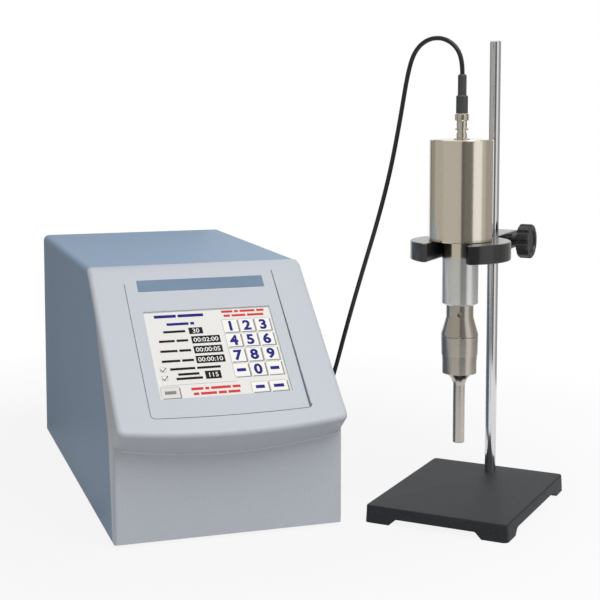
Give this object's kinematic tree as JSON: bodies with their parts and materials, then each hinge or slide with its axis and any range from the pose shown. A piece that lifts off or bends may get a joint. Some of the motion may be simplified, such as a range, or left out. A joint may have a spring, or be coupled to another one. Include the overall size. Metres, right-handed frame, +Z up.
{
  "type": "probe sonicator",
  "caption": "Probe sonicator: a generator with a sloped touch screen, and a converter with a stepped horn held in a cradle that slides on a rod stand, joined by a cable.",
  "frame": {"origin": "on the bench under the middle of the generator", "axes": "+X to the right of someone facing the screen, +Y to the generator's back, +Z up"},
  "size_m": [0.4512, 0.6687, 0.4431],
  "materials": {
    "cover_paint": "satin blue-grey paint",
    "bezel_plastic": "fine textured pale grey moulding",
    "strip_print": "satin blue-grey foil",
    "screen_glass": "clear hard coat over a lit display",
    "sheet_metal": "zinc plated sheet",
    "panel_paint": "satin blue-grey paint",
    "board": "green solder mask",
    "standoff_brass": "machined",
    "screw_steel": "zinc plated",
    "foot_rubber": "matt black rubber",
    "sink_aluminium": "extruded",
    "ferrite": "sintered",
    "copper": "enamelled wire",
    "can_sleeve": "shrink sleeve",
    "black_plastic": "moulded",
    "guard_chrome": "plated wire",
    "pin_brass": "nickel plated",
    "converter_steel": "turned and brushed",
    "driver_aluminium": "turned",
    "ceramic": "fired ceramic with silvered faces",
    "electrode_brass": "rolled",
    "mass_steel": "turned",
    "titanium": "turned titanium",
    "clamp_black": "black anodised aluminium",
    "base_iron": "black wrinkle paint",
    "rod_chrome": "polished"
  },
  "bodies": {
    "root": {"generator_cover": "cover_paint", "front_bezel": "bezel_plastic", "label_strip": "strip_print", "touch_glass": "screen_glass", "display_module": "sheet_metal", "display_bracket": "sheet_metal", "chassis_pan": "sheet_metal", "rear_panel": "panel_paint", "control_board": "board", "power_board": "board", "control_standoffs": "standoff_brass", "power_standoffs": "standoff_brass", "panel_screws": "screw_steel", "foot_screws": "screw_steel", "fan_screws": "screw_steel", "rod_nut": "screw_steel", "output_socket_nut": "screw_steel", "rubber_feet": "foot_rubber", "rear_plug_boot": "foot_rubber", "converter_cable": "foot_rubber", "heat_sink": "sink_aluminium", "transformer_core": "ferrite", "transformer_coil": "copper", "filter_capacitors": "can_sleeve", "fan_frame": "black_plastic", "mains_inlet": "black_plastic", "switch_frame": "black_plastic", "fan_guard": "guard_chrome", "inlet_pins": "pin_brass", "output_socket": "pin_brass", "rear_plug_body": "pin_brass", "stand_base": "base_iron", "support_rod": "rod_chrome"},
    "clamp": {"clamp_body": "clamp_black", "converter_housing": "converter_steel", "converter_cap": "converter_steel", "converter_socket": "pin_brass", "converter_socket_nut": "screw_steel", "nose_ring": "converter_steel", "front_driver": "driver_aluminium", "seal_rings": "foot_rubber", "lock_ring": "driver_aluminium", "crystal_rings": "ceramic", "electrodes": "electrode_brass", "back_mass": "mass_steel", "stack_bolt": "screw_steel", "horn": "titanium", "horn_stud": "screw_steel", "horn_tip": "titanium", "plug_body": "pin_brass", "plug_boot": "foot_rubber"},
    "knob": {"clamp_knob": "black_plastic", "clamp_screw": "screw_steel"},
    "nut": {"bayonet_nut": "pin_brass"},
    "rear_nut": {"rear_bayonet_nut": "pin_brass"},
    "rocker": {"power_rocker": "black_plastic"},
    "fan": {"fan_rotor": "black_plastic"},
    "drawer": {"fuse_drawer": "black_plastic"}
  },
  "joints": [
    {"name": "clamp_height", "type": "slide", "parent": "root", "child": "clamp", "axis": [0, 0, 1], "range_m": [-0.045, 0.1], "deforming": ["converter_cable"]},
    {"name": "clamp_knob_turn", "type": "hinge", "parent": "clamp", "child": "knob", "pos_m": [0.28478, -0.14773, 0.2479], "axis": [0.7108, -0.7034, 0], "range_deg": [0, 360]},
    {"name": "bayonet_turn", "type": "hinge", "parent": "clamp", "child": "nut", "pos_m": [0.21866, -0.21455, 0.37], "axis": [0, 0, 1], "range_deg": [0, 90]},
    {"name": "rear_bayonet_turn", "type": "hinge", "parent": "root", "child": "rear_nut", "pos_m": [0.052, 0.233, 0.062], "axis": [0, 1, 0], "range_deg": [0, 90]},
    {"name": "power_switch", "type": "hinge", "parent": "root", "child": "rocker", "pos_m": [-0.016, 0.21, 0.048], "axis": [1, 0, 0], "range_deg": [-14, 0]},
    {"name": "fan_spin", "type": "hinge", "parent": "root", "child": "fan", "pos_m": [-0.038, 0.201, 0.15], "axis": [0, 1, 0], "continuous": true},
    {"name": "fuse_drawer_slide", "type": "slide", "parent": "root", "child": "drawer", "axis": [0, 1, 0], "range_m": [0, 0.015]}
  ]
}
